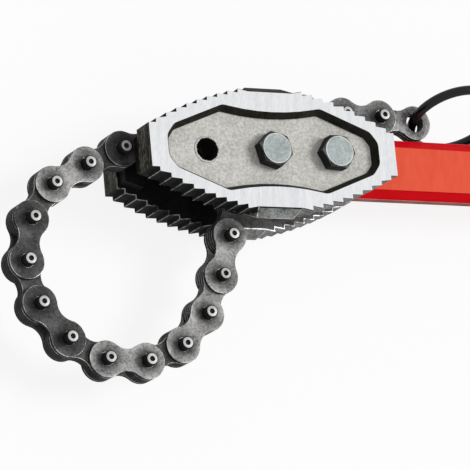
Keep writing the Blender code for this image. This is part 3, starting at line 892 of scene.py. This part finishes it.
def pinMesh(name, places):
    work = bmesh.new()
    for x in places:
        latheSolid(work, pinProfile(), pin["sides"], (x, 0))
    bmesh.ops.recalc_face_normals(work, faces=work.faces)
    for face in work.faces:
        face.material_index = pinPart(face, places)
    mesh = finishedMesh(name, work, pinFinishes)
    shadeSmooth(mesh, pin["smoothDegrees"])
    return mesh


def jointPlace(index):
    if index < len(linkBodies):
        return Vector(joints["hinge_{:02d}".format(index)]["pos_m"])
    return Vector(joints["ring_swing"]["pos_m"])


def placeLink(name, mesh, index, body, nodes):
    # The link's turn goes into its mesh, and only its place into the object.
    start, end = jointPlace(index), jointPlace(index + 1)
    own = mesh.copy()
    own.name = name
    own.transform(Matrix.Rotation(math.atan2(end.y - start.y, end.x - start.x), 4, "Z"))
    piece = addPiece(name, own)
    piece.location = start
    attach(piece, body)
    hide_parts(*nodes)
    return piece


print("making the chain")
layer = chain["thick"] + chain["gap"]
outerLevels, innerLevels = (2 * layer, -2 * layer), (layer, 0, -layer)
pinHoles = (chain["pinHole"], chain["pinHole"])
outerMeshes = {tone: plateMesh("outerPlates" + tone, outerLevels, *pinHoles, tone)
               for tone in plateLooks}
innerMeshes = {tone: plateMesh("innerPlates" + tone, innerLevels, *pinHoles, tone)
               for tone in plateLooks}
anchorMesh = plateMesh("anchorPlates", outerLevels, chain["boltHole"], chain["pinHole"], "light")
lastMesh = plateMesh("lastPlates", innerLevels, chain["pinHole"], chain["ringHole"], "light")
pinsMesh = pinMesh("linkPins", (0, chain["pitch"]))
anchorPinMesh = pinMesh("anchorPin", (chain["pitch"],))
lastLink = len(linkBodies) - 1
for index, body in enumerate(linkBodies):
    label, nodes = "{:02d}".format(index), bodyNodes[body]
    if index % 2 == 0:
        mesh = outerMeshes[linkTone(index)] if index else anchorMesh
        plates = placeLink("outerPlates" + label, mesh, index, body, nodes)
        pins = pinsMesh if index else anchorPinMesh
        placeLink("rivetPins" + label, pins, index, body, nodes)
    else:
        mesh = lastMesh if index == lastLink else innerMeshes[linkTone(index)]
        plates = placeLink("innerPlates" + label, mesh, index, body, nodes)
    evenShading(plates)


# ---- pull ring

ringLook = {"group": grainGroup, "values": {"Scale": 90, "Fine": 0.3},
            "dark": (0.0022, 0.0022, 0.0027), "light": (0.006, 0.007, 0.008),
            "rough": (0.18, 0.28), "bump": (0.10, 0.6 * mm), "shine": 0.25}
pullRing = {"radius": 34.8 * mm, "rod": 3.6 * mm, "turn": 6.2, "rise": 10.0, "tilt": 24.0,
            "roundSteps": 96, "rodSteps": 24}


def turnAbout(axis, degrees):
    return Matrix.Rotation(math.radians(degrees), 4, axis)


def makeRing():
    bpy.ops.mesh.primitive_torus_add(major_radius=pullRing["radius"],
                                     minor_radius=pullRing["rod"],
                                     major_segments=pullRing["roundSteps"],
                                     minor_segments=pullRing["rodSteps"])
    ring = bpy.context.object
    ring.name = "pullRing"
    ring.data.transform(Matrix.Translation((pullRing["radius"], 0, 0)))
    lean = turnAbout("Z", pullRing["turn"]) @ turnAbout("Y", -pullRing["rise"])
    lean = lean @ turnAbout("X", -pullRing["tilt"]) @ turnAbout("X", 90)
    ring.data.transform(lean)
    ring.location = jointPlace(len(linkBodies))
    ring.data.materials.append(finish("ringEnamel", ringLook))
    ring.data.shade_smooth()
    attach(ring, "pull_ring")
    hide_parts("pull_ring")


print("making the pull ring")
makeRing()


# ---- floor, light and camera

white = (1, 1, 1, 1)
studio = {"floorSize": 12.0, "floorDrop": 0.2 * mm, "floorShare": 0.86, "floorRough": 0.8,
          "floorShine": 0.1, "floorScale": 3, "floorDetail": 2, "floorSpread": (0.3, 0.7),
          "floorDark": (0.89, 0.89, 0.89), "floorLight": (0.91, 0.91, 0.91),
          "skyLight": 0.52, "sunPower": 1.85, "sunSpread": 24, "sunFrom": (0.66, 0.10, 0.80)}


def whiteForEye(tree):
    # One where the camera or a mirror-like surface looks, nought where light is gathered.
    path = addNode(tree, "ShaderNodeLightPath")
    seen = mathNode(tree, "MAXIMUM", path.outputs["Is Camera Ray"], path.outputs["Is Glossy Ray"])
    return mathNode(tree, "MAXIMUM", seen, path.outputs["Is Transmission Ray"])


def floorMaterial():
    material = bpy.data.materials.new("paleFloor")
    material.use_nodes = True
    tree = material.node_tree
    shader = tree.nodes["Principled BSDF"]
    shader.inputs["Roughness"].default_value = studio["floorRough"]
    shader.inputs["Specular IOR Level"].default_value = studio["floorShine"]
    cloud = noise(tree, objectPlace(tree), studio["floorScale"], studio["floorDetail"])
    tone = ramp(tree, cloud, studio["floorSpread"], studio["floorDark"], studio["floorLight"])
    tree.links.new(tone, shader.inputs["Base Color"])
    glow = addNode(tree, "ShaderNodeEmission")
    glow.inputs["Color"].default_value = white
    mix = addNode(tree, "ShaderNodeMixShader")
    share = mathNode(tree, "MULTIPLY", whiteForEye(tree), studio["floorShare"])
    tree.links.new(share, mix.inputs[0])
    tree.links.new(shader.outputs[0], mix.inputs[1])
    tree.links.new(glow.outputs[0], mix.inputs[2])
    tree.links.new(mix.outputs[0], tree.nodes["Material Output"].inputs["Surface"])
    return material


def makeFloor():
    half = studio["floorSize"] / 2
    work = bmesh.new()
    corners = ((-half, -half), (half, -half), (half, half), (-half, half))
    work.faces.new([work.verts.new((x, y, -studio["floorDrop"])) for x, y in corners])
    meshObject("floor", work, [floorMaterial()])


def makeSky():
    world = bpy.data.worlds.new("studio")
    bpy.context.scene.world = world
    world.use_nodes = True
    tree = world.node_tree
    back = tree.nodes["Background"]
    back.inputs["Color"].default_value = white
    level = mapRange(tree, whiteForEye(tree), (0, 1), (studio["skyLight"], 1))
    tree.links.new(level, back.inputs["Strength"])


def makeSun():
    lamp = bpy.data.lights.new("softSun", "SUN")
    lamp.energy = studio["sunPower"]
    lamp.angle = math.radians(studio["sunSpread"])
    sun = bpy.data.objects.new("softSun", lamp)
    bpy.context.scene.collection.objects.link(sun)
    sun.rotation_euler = Vector(studio["sunFrom"]).to_track_quat("Z", "Y").to_euler()


# The photo's camera, worked out with the chain's pitch as the unit of length.
view = {"turn": (-0.271, 0.470, -0.030), "shiftX": 0.927, "shiftY": 1.963, "distance": 73.278,
        "focalPixels": 3202.6, "imagePixels": 470, "sensor": 36.0, "clipEnd": 20}


def makeCamera():
    data = bpy.data.cameras.new("photoCamera")
    data.sensor_width = view["sensor"]
    data.lens = view["focalPixels"] * view["sensor"] / view["imagePixels"]
    data.clip_end = view["clipEnd"]
    made = bpy.data.objects.new("photoCamera", data)
    bpy.context.scene.collection.objects.link(made)
    turn = Euler(view["turn"], "XYZ").to_matrix().transposed()
    place = turn @ Vector((-view["shiftX"], -view["shiftY"], view["distance"])) * chain["pitch"]
    faceMiddle = centreBolt + Vector((0, 0, jaw["outerFace"]))
    made.matrix_world = Matrix.Translation(place + faceMiddle) @ turn.to_4x4()
    bpy.context.scene.camera = made


print("setting the light and the camera")
makeFloor()
makeSky()
makeSun()
makeCamera()
bpy.context.scene.view_settings.view_transform = "Standard"
